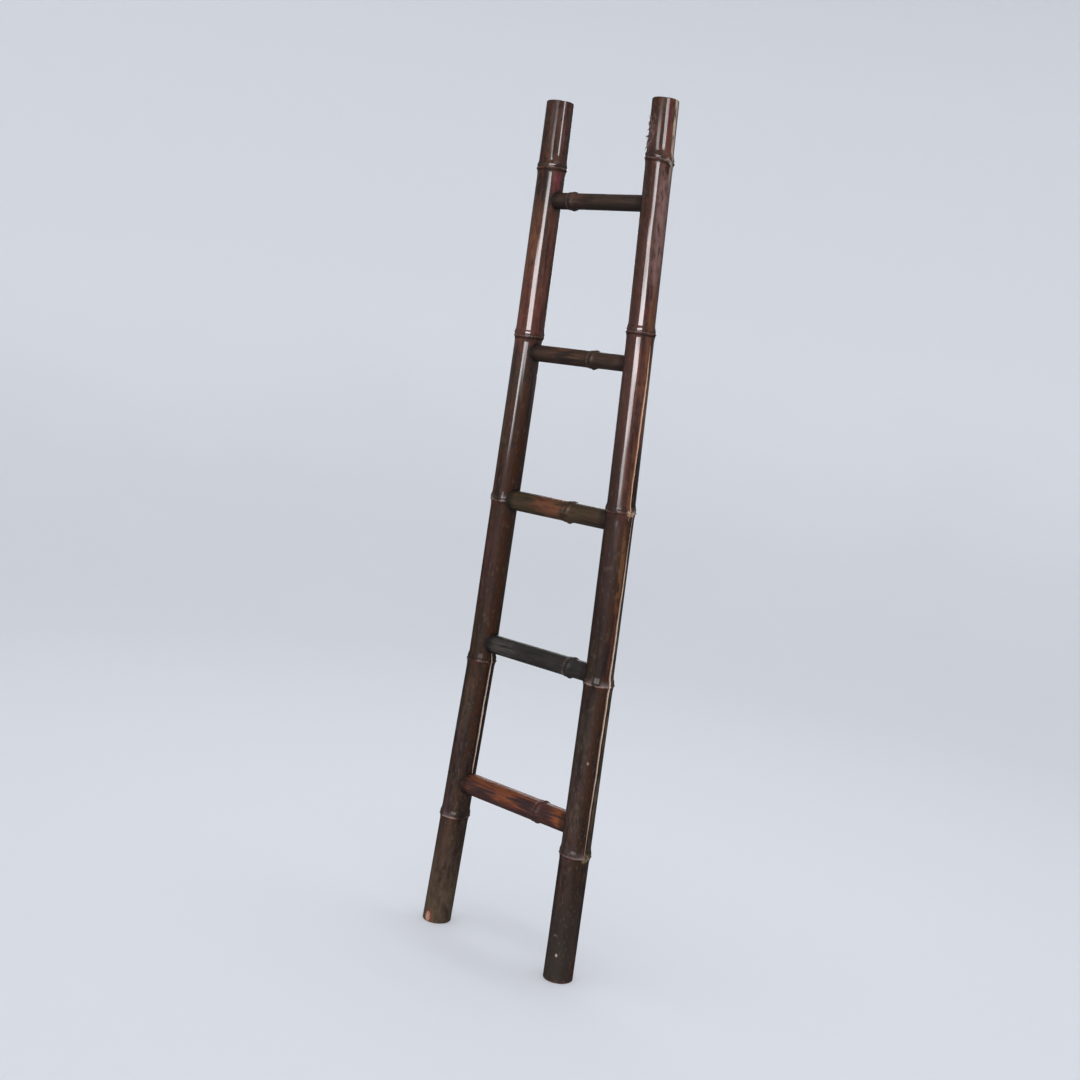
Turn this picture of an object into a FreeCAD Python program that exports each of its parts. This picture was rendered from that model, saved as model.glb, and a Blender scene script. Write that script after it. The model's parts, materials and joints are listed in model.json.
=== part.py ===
import FreeCAD, Part
import math
import os
from FreeCAD import Vector

# A leaning ladder of stained bamboo: two whole culms for stiles, five canes for rungs, one peg in each joint.
# Millimetres. X runs along the rungs, +Y points to the back, Z runs up the stiles.
# The origin is on the floor, midway across the ladder and midway through its depth.

# Whole ladder
stile_length = 1790.0
foot_spacing = 356.0
head_spacing = 270.0
stile_sag = 17.0
rung_first_height = 322.0
rung_head_drop = 200.0

# Stile culms
stile_foot_diameter = 62.0
stile_wall = 7.0
stile_diaphragm = 6.0
stile_cavity_round = 7.0

# Each stile's nodes as shares of its length, the girth at the bottom and top of each internode as shares of
# the foot diameter, and the sideways kink of the axis at each node as shares of the foot diameter.
left_node_shares = [0.1363, 0.3343, 0.5316, 0.7293, 0.9239]
left_girth_shares = [(1.010, 0.990), (1.000, 0.974), (0.938, 0.925),
                     (0.958, 0.944), (0.972, 0.941), (0.941, 0.919)]
left_kink_shares = [0.0, 0.050, -0.018, -0.004, 0.0]
right_node_shares = [0.1476, 0.3484, 0.5460, 0.7464, 0.9340]
right_girth_shares = [(1.002, 1.000), (0.998, 0.977), (0.946, 0.950),
                      (0.937, 0.907), (0.880, 0.886), (0.878, 0.857)]
right_kink_shares = [-0.010, 0.006, 0.012, -0.004, -0.010]

# Node of a stile: the swelling below the sheath scar, the scar's lip, and the ridge above it
stile_node_flare = 16.0
stile_node_swell = 1.7
stile_scar_width = 1.6
stile_scar_height = 1.4
stile_ridge_offset = 7.5
stile_ridge_height = 2.2

# Rung canes, counted from the floor, with the place of the node in each clear span as a share of that span
rung_1_diameter = 47.0
rung_2_diameter = 40.8
rung_3_diameter = 43.0
rung_4_diameter = 35.0
rung_5_diameter = 34.3
rung_node_shares = [0.71, 0.80, 0.59, 0.625, 0.155]
rung_pitch = (stile_length - rung_first_height - rung_head_drop) / (len(rung_node_shares) - 1)
rung_wall = 4.5
rung_diaphragm = 4.0
rung_taper_share = 0.975
rung_end_bevel = 1.5

# Node of a rung, where the ridge is the larger ring
rung_node_flare = 10.0
rung_node_swell = 0.6
rung_scar_width = 1.2
rung_scar_height = 0.7
rung_ridge_offset = 10.0
rung_ridge_height = 2.6

# Joints: how far a tenon reaches past the stile's axis, and the pegs that lock it
tenon_past_axis = 5.0
joint_clearance = 0.2
peg_diameter = 7.0
peg_inboard = 8.0
peg_bite = 3.0
peg_proud = 0.8
peg_tip = 2.0

# Drying splits: widest opening, its swelling along the split, and where each one runs.
# An angle is measured from the front of the stile round towards +X, in degrees.
split_width = 5.0
split_height_shares = [0.0, 0.12, 0.45, 0.80, 1.0]
split_width_shares = [0.12, 0.75, 1.0, 0.85, 0.12]
right_upper_split_shares = (0.538, 0.734)
right_upper_split_angles = [73.0, 76.0, 81.0, 87.0, 88.0]
right_lower_split_shares = (0.152, 0.553)
right_lower_split_angles = [73.0, 76.0, 82.0, 92.0, 96.0]
left_split_shares = (0.186, 0.352)
left_split_angles = [87.0, 87.0, 86.0, 86.0, 86.0]

cut_overrun = 10.0
LEFT = -1
RIGHT = 1
UP = Vector(0, 0, 1)
BACK = Vector(0, 1, 0)
ALONG = Vector(1, 0, 0)


def axis_point(side, height):
    """A point on the smooth, sagging axis of a stile."""
    share = height / stile_length
    spacing = foot_spacing + (head_spacing - foot_spacing) * share
    depth = stile_sag * (4 * share * (1 - share) - 0.5)
    return Vector(side * spacing / 2, depth, height)


def between(low, high, share):
    return low + (high - low) * share


def node_profile(place, below, above, sizes):
    """Distance and radius of the rings that shape one node of a culm, from below it to above it."""
    flare, swell, scar_width, scar_height, ridge_offset, ridge_height = sizes
    return [(place - flare, below),
            (place - scar_width, below + swell),
            (place, below + swell + scar_height),
            (place + scar_width, between(below, above, 0.5) + swell),
            (place + ridge_offset, above + ridge_height),
            (place + ridge_offset + flare, above)]


class Stile:
    """One culm: its bent axis, its outline, and the solid that is cut from them."""

    node_sizes = (stile_node_flare, stile_node_swell, stile_scar_width, stile_scar_height, stile_ridge_offset,
                  stile_ridge_height)

    def __init__(self, side, node_shares, girth_shares, kink_shares):
        self.side = side
        self.nodes = [share * stile_length for share in node_shares]
        foot_radius = stile_foot_diameter / 2
        self.girths = [(low * foot_radius, high * foot_radius) for low, high in girth_shares]
        self.axis = [axis_point(side, 0)]
        for height, kink in zip(self.nodes, kink_shares):
            self.axis.append(axis_point(side, height) + ALONG * kink * stile_foot_diameter)
        self.axis.append(axis_point(side, stile_length))
        self.outline = [(0, self.girths[0][0])]
        for height, below, above in zip(self.nodes, self.girths[:-1], self.girths[1:]):
            self.outline += node_profile(height, below[1], above[0], self.node_sizes)
        self.outline.append((stile_length, self.girths[-1][1]))

    def centre(self, height):
        """The bent axis at a height: straight from node to node."""
        spans = list(zip(self.axis[:-1], self.axis[1:]))
        for low, high in spans:
            if height <= high.z:
                break
        return between(low, high, (height - low.z) / (high.z - low.z))

    def radius(self, height):
        for (low, low_radius), (high, high_radius) in zip(self.outline[:-1], self.outline[1:]):
            if height <= high:
                break
        return between(low_radius, high_radius, (height - low) / (high - low))

    def ring(self, height, radius):
        return Part.Wire(Part.makeCircle(radius, self.centre(height), UP))

    def skin(self, rings):
        return Part.makeLoft([self.ring(height, radius) for height, radius in rings], True, True)

    def cavities(self):
        """The hollow of each internode, closed by a diaphragm at every node and open at the culm's ends."""
        ends = [-cut_overrun] + self.nodes + [stile_length + cut_overrun]
        half = stile_diaphragm / 2
        hollows = []
        for index, (low_radius, high_radius) in enumerate(self.girths):
            low = ends[index] + half
            high = ends[index + 1] - half
            low_bore = low_radius - stile_wall
            high_bore = high_radius - stile_wall
            rings = [(low + stile_cavity_round, low_bore), (high - stile_cavity_round, high_bore)]
            if index == 0:
                rings[0] = (-cut_overrun, low_bore)
            else:
                rings.insert(0, (low, low_bore - stile_cavity_round))
            if index == len(self.girths) - 1:
                rings[-1] = (stile_length + cut_overrun, high_bore)
            else:
                rings.append((high, high_bore - stile_cavity_round))
            hollows.append(self.skin(rings))
        return hollows

    def split(self, end_shares, angles):
        """A drying split: a slot through the wall that swells and closes again along the grain."""
        low, high = [share * stile_length for share in end_shares]
        sections = []
        for height_share, width_share, angle in zip(split_height_shares, split_width_shares, angles):
            height = between(low, high, height_share)
            centre = self.centre(height)
            turn = math.radians(angle)
            outward = Vector(math.sin(turn), -math.cos(turn), 0)
            sideways = outward.cross(UP) * split_width * width_share / 2
            deep = centre + outward * (self.radius(height) - stile_wall - stile_cavity_round)
            proud = centre + outward * (self.radius(height) + cut_overrun)
            corners = [deep - sideways, proud - sideways, proud + sideways, deep + sideways]
            sections.append(Part.makePolygon(corners + corners[:1]))
        return Part.makeLoft(sections, True, True)


class Rung:
    """One cane: a revolved outline with a node, hollow on both sides of it, with a tenon at each end."""

    node_sizes = (rung_node_flare, rung_node_swell, rung_scar_width, rung_scar_height, rung_ridge_offset,
                  rung_ridge_height)

    def __init__(self, index, diameter, node_share, stiles):
        self.height = rung_first_height + index * rung_pitch
        self.radius = diameter / 2
        self.far_radius = self.radius * rung_taper_share
        self.depth = axis_point(RIGHT, self.height).y
        left, right = [stile.centre(self.height).x for stile in stiles]
        self.start = left - tenon_past_axis
        self.end = right + tenon_past_axis
        clear_start = left + stiles[0].radius(self.height)
        clear_end = right - stiles[1].radius(self.height)
        self.node = between(clear_start, clear_end, node_share)

    def place(self, x):
        return Vector(x, self.depth, self.height)

    def tenon_radius(self, side):
        return self.radius if side == LEFT else self.far_radius

    def solid(self):
        outline = [(self.start, self.radius - rung_end_bevel),
                   (self.start + rung_end_bevel, self.radius)]
        outline += node_profile(self.node, self.radius, self.far_radius, self.node_sizes)
        outline += [(self.end - rung_end_bevel, self.far_radius),
                    (self.end, self.far_radius - rung_end_bevel)]
        points = [self.place(self.start)]
        points += [self.place(x) + BACK * radius for x, radius in outline]
        points += [self.place(self.end), points[0]]
        cane = Part.Face(Part.makePolygon(points)).revolve(self.place(0), ALONG, 360)
        half = rung_diaphragm / 2
        near_bore = Part.makeCylinder(self.radius - rung_wall, self.node - half - self.start + cut_overrun,
                                      self.place(self.start - cut_overrun), ALONG)
        far_bore = Part.makeCylinder(self.far_radius - rung_wall, self.end - self.node - half + cut_overrun,
                                     self.place(self.node + half), ALONG)
        return cane.cut([near_bore, far_bore])

    def mortise(self, stile):
        """The round hole that takes the tenon, from the clear span to just past the tenon's end."""
        radius = self.tenon_radius(stile.side) + joint_clearance
        axis = stile.centre(self.height).x
        length = tenon_past_axis + joint_clearance + stile.radius(self.height) + cut_overrun
        bottom = axis + stile.side * (tenon_past_axis + joint_clearance)
        return Part.makeCylinder(radius, length, self.place(bottom), ALONG * -stile.side)


class Peg:
    """The peg that locks one tenon: driven from the back of the stile, blind in its front wall."""

    def __init__(self, rung, stile):
        centre = stile.centre(rung.height)
        outer = stile.radius(rung.height)
        inner = outer - stile_wall
        self.x = centre.x - stile.side * peg_inboard
        self.height = rung.height
        self.back = centre.y + math.sqrt(outer ** 2 - peg_inboard ** 2) + peg_proud
        self.front = centre.y - math.sqrt(inner ** 2 - peg_inboard ** 2) - peg_bite

    def place(self, y):
        return Vector(self.x, y, self.height)

    def solid(self):
        radius = peg_diameter / 2
        outline = [(self.front, 0), (self.front, radius - peg_tip / 2), (self.front + peg_tip, radius),
                   (self.back - peg_proud, radius), (self.back, radius - peg_proud), (self.back, 0)]
        points = [self.place(y) + ALONG * reach for y, reach in outline]
        return Part.Face(Part.makePolygon(points + points[:1])).revolve(self.place(0), BACK, 360)

    def hole(self):
        radius = peg_diameter / 2 + joint_clearance
        length = self.back - self.front + joint_clearance + cut_overrun
        return Part.makeCylinder(radius, length, self.place(self.front - joint_clearance), BACK)


def save(name, shape):
    """Writes one piece, after checking that it is one closed solid."""
    assert len(shape.Solids) == 1 and shape.isValid(), name
    shape.Solids[0].exportStep("parts/" + name + ".step")


os.makedirs("parts", exist_ok=True)

left = Stile(LEFT, left_node_shares, left_girth_shares, left_kink_shares)
right = Stile(RIGHT, right_node_shares, right_girth_shares, right_kink_shares)
stiles = {"left": left, "right": right}

# Rungs, with the pegs of their two ends
rung_diameters = [rung_1_diameter, rung_2_diameter, rung_3_diameter, rung_4_diameter, rung_5_diameter]
rungs = []
pegs = {"left": [], "right": []}
for index, (diameter, node_share) in enumerate(zip(rung_diameters, rung_node_shares)):
    rung = Rung(index, diameter, node_share, [left, right])
    rungs.append(rung)
    own_pegs = [Peg(rung, stile) for stile in stiles.values()]
    save("rung_%d" % (index + 1), rung.solid().cut([peg.hole() for peg in own_pegs]))
    for side, peg in zip(stiles, own_pegs):
        pegs[side].append(peg)
        save("peg_%s_%d" % (side, index + 1), peg.solid())

# Stiles, bored for the rungs and the pegs and opened by their splits
splits = {"left": [left.split(left_split_shares, left_split_angles)],
          "right": [right.split(right_upper_split_shares, right_upper_split_angles),
                    right.split(right_lower_split_shares, right_lower_split_angles)]}
for side, stile in stiles.items():
    culm = stile.skin(stile.outline).cut(stile.cavities())
    mortises = [rung.mortise(stile) for rung in rungs]
    peg_holes = [peg.hole() for peg in pegs[side]]
    for cut in mortises + peg_holes + splits[side]:
        culm = culm.cut(cut)
    save("stile_" + side, culm)
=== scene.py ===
import json
import math
import random
from collections import namedtuple

import bmesh
import bpy
from mathutils import Matrix, Vector

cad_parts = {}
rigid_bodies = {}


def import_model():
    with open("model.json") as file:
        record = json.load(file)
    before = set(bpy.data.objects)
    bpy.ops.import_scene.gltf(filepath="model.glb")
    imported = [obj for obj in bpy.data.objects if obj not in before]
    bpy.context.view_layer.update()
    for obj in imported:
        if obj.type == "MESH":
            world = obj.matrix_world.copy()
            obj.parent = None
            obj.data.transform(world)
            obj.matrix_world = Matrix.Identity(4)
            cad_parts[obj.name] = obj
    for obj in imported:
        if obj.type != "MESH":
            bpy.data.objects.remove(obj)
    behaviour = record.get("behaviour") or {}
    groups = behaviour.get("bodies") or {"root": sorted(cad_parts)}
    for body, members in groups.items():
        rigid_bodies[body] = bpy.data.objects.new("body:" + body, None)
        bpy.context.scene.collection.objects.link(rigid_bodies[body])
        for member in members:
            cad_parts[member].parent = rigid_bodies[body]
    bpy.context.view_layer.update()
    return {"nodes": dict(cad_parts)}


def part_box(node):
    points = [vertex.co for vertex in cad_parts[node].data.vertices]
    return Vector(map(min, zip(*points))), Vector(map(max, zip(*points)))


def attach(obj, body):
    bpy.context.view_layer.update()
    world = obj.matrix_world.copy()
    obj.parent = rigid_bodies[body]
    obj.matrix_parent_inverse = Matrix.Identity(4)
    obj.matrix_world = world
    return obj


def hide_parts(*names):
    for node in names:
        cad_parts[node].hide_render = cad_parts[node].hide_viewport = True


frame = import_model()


# Culms
# A culm is a whole bamboo stem: a tapering tube with a lipped node and a diaphragm every foot or so.
# The ladder is all culms, thick ones for stiles and thin ones for rungs, so one tree shapes them all.


class Strand:
    """One socket of a node tree. Arithmetic on strands adds Math nodes to that tree."""

    def __init__(self, tree, socket=None):
        self.tree = tree
        self.socket = socket

    def add(self, kind, settings, sockets, out):
        """Adds a node: its settings first, then the values or links of its sockets, named by identifier."""
        node = self.tree.nodes.new(kind)
        for name, value in settings.items():
            setattr(node, name, value)
        inputs = {socket.identifier: socket for socket in node.inputs}
        for name, value in sockets.items():
            if isinstance(value, Strand):
                self.tree.links.new(value.socket, inputs[name])
            else:
                inputs[name].default_value = value
        return Strand(self.tree, node).beside(out)

    def beside(self, out):
        """Another output of the same node."""
        node = self.socket if isinstance(self.socket, bpy.types.Node) else self.socket.node
        return Strand(self.tree, next(socket for socket in node.outputs if socket.identifier == out))

    def math(self, operation, *others):
        sockets = dict(zip(("Value", "Value_001", "Value_002"), (self, *others)))
        return self.add("ShaderNodeMath", {"operation": operation}, sockets, "Value")

    def __add__(self, other):
        return self.math("ADD", other)

    def __sub__(self, other):
        return self.math("SUBTRACT", other)

    def __mul__(self, other):
        return self.math("MULTIPLY", other)

    def __truediv__(self, other):
        return self.math("DIVIDE", other)

    def __rsub__(self, other):
        return self.math("MULTIPLY_ADD", -1.0, other)

    __radd__ = __add__
    __rmul__ = __mul__


def combine(x, y, z):
    """A vector from three values, of which the first is a strand."""
    return x.add("ShaderNodeCombineXYZ", {}, {"X": x, "Y": y, "Z": z}, "Vector")


def separate(vector):
    x = vector.add("ShaderNodeSeparateXYZ", {}, {"Vector": vector}, "X")
    return x, x.beside("Y"), x.beside("Z")


def noise(vector, scale, detail=2.0):
    sockets = {"Vector": vector, "Scale": scale, "Detail": detail}
    return vector.add("ShaderNodeTexNoise", {}, sockets, "Fac")


def fade(value, low, high):
    """Rises smoothly from 0 at low to 1 at high, or falls where high is the smaller one."""
    return value.add("ShaderNodeMapRange", {"interpolation_type": "SMOOTHSTEP"},
                     {"Value": value, "From Min": low, "From Max": high}, "Result")


def new_tree(name, sockets, result):
    """A geometry tree with these inputs and one result, and a strand for each input."""
    tree = bpy.data.node_groups.new(name, "GeometryNodeTree")
    for socket, kind in sockets.items():
        tree.interface.new_socket(socket, in_out="INPUT", socket_type="NodeSocket" + kind)
    tree.interface.new_socket(result, in_out="OUTPUT", socket_type="NodeSocketGeometry")
    given = tree.nodes.new("NodeGroupInput").outputs
    return tree, {socket.name: Strand(tree, socket) for socket in given}


def attribute(strand, name, kind="FLOAT"):
    settings = {"data_type": kind}
    return strand.add("GeometryNodeInputNamedAttribute", settings, {"Name": name}, "Attribute")


def painted(geometry, material, chosen=True):
    """The geometry with a material on its chosen faces."""
    sockets = {"Geometry": geometry, "Selection": chosen, "Material": material}
    return geometry.add("GeometryNodeSetMaterial", {}, sockets, "Geometry")


HOLLOW, SKIN, SAWN = range(3)

# A spread is how soon a form dies away round the stem. Starts and ends are heights above a node.
bud_spread = 0.03
bud_height = 0.005
channel_spread = 0.05
channel_start = (0.010, 0.035)
channel_end = (0.24, 0.10)
furrow_spread = 0.016
furrow_start = (0.004, 0.030)
lip_edge = 0.001
weld = 1e-6


def culm_tree():
    """Rings of points round the rows of a stem, shaped by its nodes, buds and natural unevenness."""
    sockets = {"Rows": "Geometry", "Around": "Int", "Side": "Vector", "Front": "Vector"}
    for name in ("Swell", "Collar", "Lip", "Lip Width", "Ridge", "Ridge Offset", "Ridge Width", "Bud",
                 "Uneven", "Flutes", "Seed"):
        sockets[name] = "Float"
    for name in ("Hollow", "Skin", "Sawn"):
        sockets[name] = "Material"
    tree, given = new_tree("culm", sockets, "Culm")
    rows = given["Rows"]
    around = given["Around"]

    # A flat sheet of points, one line of it for each row
    count = rows.add("GeometryNodeAttributeDomainSize", {}, {"Geometry": rows}, "Point Count")
    last = count - 1
    sheet_size = {"Size X": last, "Size Y": around, "Vertices X": count, "Vertices Y": around + 1}
    sheet = rows.add("GeometryNodeMeshGrid", {}, sheet_size, "Mesh")
    place = rows.add("GeometryNodeInputPosition", {}, {}, "Position")
    x, y, _ = separate(place)
    line = x + last / 2

    def read(value, kind, index):
        return rows.add("GeometryNodeSampleIndex", {"data_type": kind},
                        {"Geometry": rows, "Value": value, "Index": index}, "Value")

    def row(name, kind="FLOAT"):
        return read(attribute(rows, name, kind), kind, line.math("ROUND"))

    # Distance from the node's lip, which may run round the stem at a tilt and wavers a little.
    # The turn is counted backwards, so that the faces of the skin look outwards.
    turn = y / around * (-2 * math.pi)
    across = turn.math("COSINE")
    deep = turn.math("SINE")
    along = row("along")
    tilt_x, tilt_y, _ = separate(row("tilt", "FLOAT_VECTOR"))
    bud_x, bud_y, _ = separate(row("bud", "FLOAT_VECTOR"))
    waver = noise(combine(across * 1.7, deep * 1.7, along * 2 + given["Seed"]), 1.0) - 0.5
    gap = row("from_node") + tilt_x * across + tilt_y * deep + waver * given["Lip Width"] * 2

    def bell(value, centre, width):
        offset = (value - centre) / width
        return (offset * offset * -1).math("EXPONENT")

    # Swelling, lip, the furrow above the lip, the ridge above that, and the bud with its shallow channel
    toward_bud = across * bud_x + deep * bud_y - 1
    shape = given["Swell"] * bell(gap, 0, given["Collar"])
    shape += given["Lip"] * bell(gap, 0, given["Lip Width"])
    shape += given["Ridge"] * bell(gap, given["Ridge Offset"], given["Ridge Width"])
    shape -= given["Lip"] * 0.5 * bell(gap, given["Ridge Offset"] * 0.4, given["Lip Width"] * 0.9)
    knob = (toward_bud / bud_spread).math("EXPONENT")
    shape += given["Bud"] * knob * bell(gap, given["Ridge Offset"] * 0.9, bud_height)
    channel = fade(gap, *channel_start) * fade(gap, *channel_end)
    shape -= given["Bud"] * 0.5 * (toward_bud / channel_spread).math("EXPONENT") * channel

    # A furrow that a branch left up an internode: narrow, with a lip on each side that catches the light
    furrow_x, furrow_y, furrow_depth = separate(row("furrow", "FLOAT_VECTOR"))
    toward_furrow = across * furrow_x + deep * furrow_y - 1
    groove = (toward_furrow / furrow_spread).math("EXPONENT")
    shape -= furrow_depth * groove * fade(gap, *furrow_start)

    # Each internode is out of round in its own way, with flutes that follow the fibres
    fresh = along * 3 + row("internode") * 5.3 + given["Seed"]
    bend = noise(combine(across * 1.1, deep * 1.1, fresh), 1.0) - 0.5
    flute = noise(combine(across * 5, deep * 5, fresh * 0.4), 1.0, 2.0) - 0.5
    calm = 1 - bell(gap, 0, given["Collar"])
    shape += (bend * 2 * given["Uneven"] + flute * 2 * given["Flutes"] * row("fluted")) * calm
    radius = row("reach") + row("skin") * shape

    # The sheet takes the finish of each row and is wrapped round the stem's axis
    def store(geometry, domain, name, value):
        return geometry.add("GeometryNodeStoreNamedAttribute", {"data_type": "FLOAT", "domain": domain},
                            {"Geometry": geometry, "Name": name, "Value": value}, "Geometry")

    marked = store(sheet, "FACE", "finish", read(attribute(rows, "finish"), "FLOAT", line.math("FLOOR")))
    rings = {"scar": bell(gap, 0, given["Lip Width"] * 1.1), "collar": bell(gap, 0, given["Collar"]),
             "above": fade(gap, -lip_edge, lip_edge)}
    for name, value in rings.items():
        marked = store(marked, "POINT", name, value * row("skin"))

    def scaled(vector, scale):
        sockets = {"Vector": vector, "Scale": scale}
        return vector.add("ShaderNodeVectorMath", {"operation": "SCALE"}, sockets, "Vector")

    def summed(one, other):
        sockets = {"Vector": one, "Vector_001": other}
        return one.add("ShaderNodeVectorMath", {"operation": "ADD"}, sockets, "Vector")

    axis = read(place, "FLOAT_VECTOR", line.math("ROUND"))
    outward = summed(scaled(given["Side"], across), scaled(given["Front"], deep))
    wrapped = marked.add("GeometryNodeSetPosition", {},
                         {"Geometry": marked, "Position": summed(axis, scaled(outward, radius))}, "Geometry")
    welded = {"Geometry": wrapped, "Distance": weld}
    closed = wrapped.add("GeometryNodeMergeByDistance", {}, welded, "Geometry")
    faces = closed.add("GeometryNodeInputMeshEdgeNeighbors", {}, {}, "Face Count")
    clean = closed.add("GeometryNodeDeleteGeometry", {"domain": "EDGE", "mode": "EDGE_FACE"},
                       {"Geometry": closed, "Selection": faces.math("LESS_THAN", 0.5)}, "Geometry")
    culm = clean.add("GeometryNodeSetShadeSmooth", {}, {"Geometry": clean}, "Geometry")
    culm = culm.add("GeometryNodeRealizeInstances", {}, {"Geometry": culm}, "Geometry")
    mark = attribute(rows, "finish")
    culm = painted(culm, given["Hollow"])
    for number, name in ((SKIN, "Skin"), (SAWN, "Sawn")):
        culm = painted(culm, given[name], mark.math("COMPARE", float(number), 0.1))
    tree.links.new(culm.socket, tree.nodes.new("NodeGroupOutput").inputs[0])
    return tree


culm = culm_tree()
saw_edge = 0.0012
cavity_round = 0.007
cavity_corner_share = 0.7
cavity_steps = 4
collar_reach = 0.026
coarse_row = 0.008
fine_row = 0.0008


def smooth(low, high, value):
    share = min(max((value - low) / (high - low), 0.0), 1.0)
    return share * share * (3 - 2 * share)


def between(low, high, share):
    return low + (high - low) * share


def culm_rows(start, end, nodes, girth, wall, diaphragm):
    """Distance along the stem, radius and finish of each row.

    They run from the foot's hollow over the skin to the head's, and the closed hollows between nodes follow.
    The finish is that of the strip between a row and the next one.
    """
    half = diaphragm / 2

    def bore(place):
        return girth(place) - wall

    def hollow(low, high):
        """A hollow closed at both ends, from its top down."""
        step = (high - low - 2 * cavity_round) / cavity_steps
        places = [high - cavity_round - step * count for count in range(cavity_steps + 1)]
        walls = [(place, bore(place)) for place in places]
        round_top = (high, walls[0][1] - cavity_round * cavity_corner_share)
        round_bottom = (low, walls[-1][1] - cavity_round * cavity_corner_share)
        return [(high, 0.0), round_top] + walls + [round_bottom, (low, 0.0)]

    foot = hollow(start + saw_edge - cavity_round, nodes[0] - half)[:-2]
    head = hollow(nodes[-1] + half, end - saw_edge + cavity_round)[2:]
    rows = [(place, radius, HOLLOW) for place, radius in foot]
    rows.append((start, bore(start) + saw_edge, SAWN))
    rows.append((start, girth(start) - saw_edge, SKIN))
    place = start + saw_edge
    while place < end - saw_edge:
        rows.append((place, girth(place), SKIN))
        gap = min(abs(place - node) for node in nodes)
        place += fine_row if gap < collar_reach else min(coarse_row, gap - collar_reach + fine_row)
    rows.append((end - saw_edge, girth(end), SKIN))
    rows.append((end, girth(end) - saw_edge, SAWN))
    rows.append((end, bore(end) + saw_edge, HOLLOW))
    rows += [(place, radius, HOLLOW) for place, radius in head]
    for low, high in zip(nodes[:-1], nodes[1:]):
        rows += [(place, radius, HOLLOW) for place, radius in hollow(low + half, high - half)]
    return rows


def plain_mesh(obj):
    """The evaluated object as a plain mesh of its own."""
    bpy.context.view_layer.update()
    return bpy.data.meshes.new_from_object(obj.evaluated_get(bpy.context.evaluated_depsgraph_get()))


def new_object(name, mesh):
    obj = bpy.data.objects.new(name, mesh)
    bpy.context.scene.collection.objects.link(obj)
    return obj


def grow(obj, tree, sizes):
    """Runs a tree on an object and keeps the result as its plain mesh."""
    modifier = obj.modifiers.new(tree.name, "NODES")
    modifier.node_group = tree
    for item in tree.interface.items_tree:
        if item.name in sizes:
            modifier[item.identifier] = sizes[item.name]
    obj.data = plain_mesh(obj)
    obj.modifiers.clear()


def grow_culm(name, rows, axis, nodes, tilts, buds, flutes, furrows, sizes):
    """A culm along an axis, from its rows.

    A tilt or a bud is a vector in the plane of the ring, one for each node. Flutes and furrows are given for
    each internode, a furrow as its direction in that plane and its depth.
    """
    mesh = bpy.data.meshes.new(name)
    mesh.from_pydata([axis(place) for place, _, _ in rows], [], [])
    numbers = ("along", "reach", "finish", "skin", "from_node", "internode", "fluted")
    vectors = ("tilt", "bud", "furrow")
    data = {key: [] for key in numbers + vectors}
    for index, (place, radius, finish) in enumerate(rows):
        nearest = min(range(len(nodes)), key=lambda number: abs(place - nodes[number]))
        is_skin = finish == SKIN or rows[index - 1][2] == SKIN
        data["along"].append(place)
        data["reach"].append(radius)
        data["finish"].append(float(finish))
        data["skin"].append(float(is_skin))
        data["from_node"].append(place - nodes[nearest])
        internode = sum(place > node for node in nodes)
        data["internode"].append(float(internode))
        data["fluted"].append(flutes[internode])
        data["tilt"].extend(tilts[nearest].to_3d())
        data["bud"].extend(buds[nearest].to_3d())
        data["furrow"].extend(furrows[internode])
    for key, values in data.items():
        kind, field = ("FLOAT_VECTOR", "vector") if key in vectors else ("FLOAT", "value")
        mesh.attributes.new(key, kind, "POINT").data.foreach_set(field, values)
    obj = new_object(name, mesh)
    grow(obj, culm, sizes)
    obj.data.materials.pop(index=0)
    return obj


# Bare bamboo
# Where the stem is sawn, bored or split, no lacquer covers it. It shows straw-coloured fibres, browned by age
# in the hollow, and dark dots of cut fibre bundles on the sawn ends.


def blend(under, over, mask):
    """One colour over another, where a mask shows it. Only the mask has to be a strand."""
    return mask.add("ShaderNodeMix", {"data_type": "RGBA"},
                    {"Factor_Float": mask, "A_Color": under, "B_Color": over}, "Result_Color")


def new_material(name):
    """A material, its shader node, and a strand of the Object coordinates to start from."""
    material = bpy.data.materials.new(name)
    material.use_nodes = True
    tree = material.node_tree
    shader = tree.nodes["Principled BSDF"]
    return material, shader, Strand(tree).add("ShaderNodeTexCoord", {}, {}, "Object")


def dress(shader, sockets):
    """Links strands to the shader's sockets and sets the plain values."""
    for name, value in sockets.items():
        if isinstance(value, Strand):
            value.tree.links.new(value.socket, shader.inputs[name])
        else:
            shader.inputs[name].default_value = value


def bumped(height, strength, distance):
    sockets = {"Height": height, "Strength": strength, "Distance": distance}
    return height.add("ShaderNodeBump", {}, sockets, "Normal")


grime_colour = (0.03, 0.017, 0.01, 1.0)
sawn_brown = (0.19, 0.10, 0.05, 1.0)
sawn_dot = (0.06, 0.03, 0.016, 1.0)
sawn_dirt = (0.035, 0.02, 0.012, 1.0)


def bare_bamboo(name, straw, brown, grime):
    """Fibres along Z, from straw to brown, with a share of dark grime."""
    material, shader, place = new_material(name)
    x, y, z = separate(place)
    fibre = noise(combine(x, y, z * 0.02), 1300.0, 3.0)
    cloud = noise(combine(x, y, z * 0.3), 45.0, 3.0)
    colour = blend(straw, brown, fade(fibre * 0.7 + cloud * 0.5, 0.40, 0.80))
    colour = blend(colour, grime_colour, fade(cloud, 0.75 - grime, 1.05 - grime))
    dress(shader, {"Base Color": colour, "Roughness": 0.55 + fibre * 0.25,
                   "Normal": bumped(fibre, 0.5, 0.0004)})
    return material


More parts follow.
